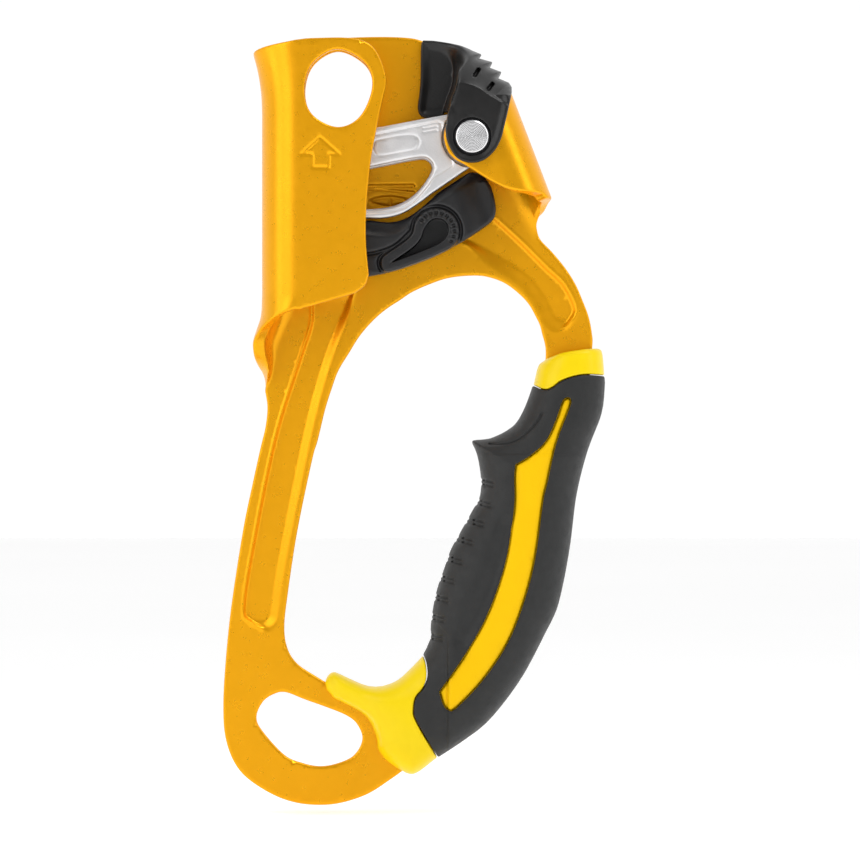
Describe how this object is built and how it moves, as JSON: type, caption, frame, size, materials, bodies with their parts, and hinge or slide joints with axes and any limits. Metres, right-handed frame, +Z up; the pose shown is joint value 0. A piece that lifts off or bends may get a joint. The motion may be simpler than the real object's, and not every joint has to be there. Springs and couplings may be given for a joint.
{
  "type": "handled rope ascender",
  "caption": "Right-hand rope ascender: folded gold aluminium plate with rope channel, toothed steel cam, black safety catch and head cover, and a handle loop with a yellow and black grip.",
  "frame": {"origin": "on the rope's axis in the channel, at the height of the cam's axle", "axes": "+Z up along the rope, +X from the rope towards the handle, -Y out of the open front; +Y is the flat back"},
  "size_m": [0.0945, 0.0323, 0.1901],
  "materials": {
    "gold_aluminium": "gold anodised, polished satin",
    "black_plastic": "moulded, satin",
    "catch_plastic": "moulded, satin",
    "steel": "plain bright steel",
    "axle_steel": "turned face",
    "cam_steel": "fine blasted, bright",
    "dark_steel": "blued spring steel",
    "lemon_plastic": "moulded nylon, satin gloss",
    "yellow_plastic": "moulded nylon, satin",
    "black_rubber": "soft grip rubber, matte"
  },
  "bodies": {
    "frame": {"frame_plate": "gold_aluminium", "head_cover_front": "black_plastic", "head_cover_rear": "black_plastic", "cover_pin": "steel", "cam_axle": "axle_steel", "axle_front_washer": "dark_steel", "axle_rear_washer": "steel", "cam_bushing": "steel", "cam_spring": "dark_steel", "top_collar": "lemon_plastic", "finger_guard": "lemon_plastic", "grip_core_front": "yellow_plastic", "grip_core_rear": "yellow_plastic", "grip_rubber": "black_rubber"},
    "cam": {"cam": "cam_steel", "catch_rivet": "steel", "catch_rivet_washer": "steel", "catch_spring": "dark_steel"},
    "safety_catch": {"catch_body": "catch_plastic"}
  },
  "joints": [
    {"name": "cam_pivot", "type": "hinge", "parent": "frame", "child": "cam", "pos_m": [0.0423, 0, 0], "axis": [0, -1, 0], "range_deg": [0, 27], "stiffness_Nm_per_rad": 0.06, "springref_deg": -45.84},
    {"name": "catch_pivot", "type": "hinge", "parent": "cam", "child": "safety_catch", "pos_m": [0.0115, 0, -0.0255], "axis": [0, 1, 0], "range_deg": [0, 15], "stiffness_Nm_per_rad": 0.01, "springref_deg": -51.57}
  ]
}
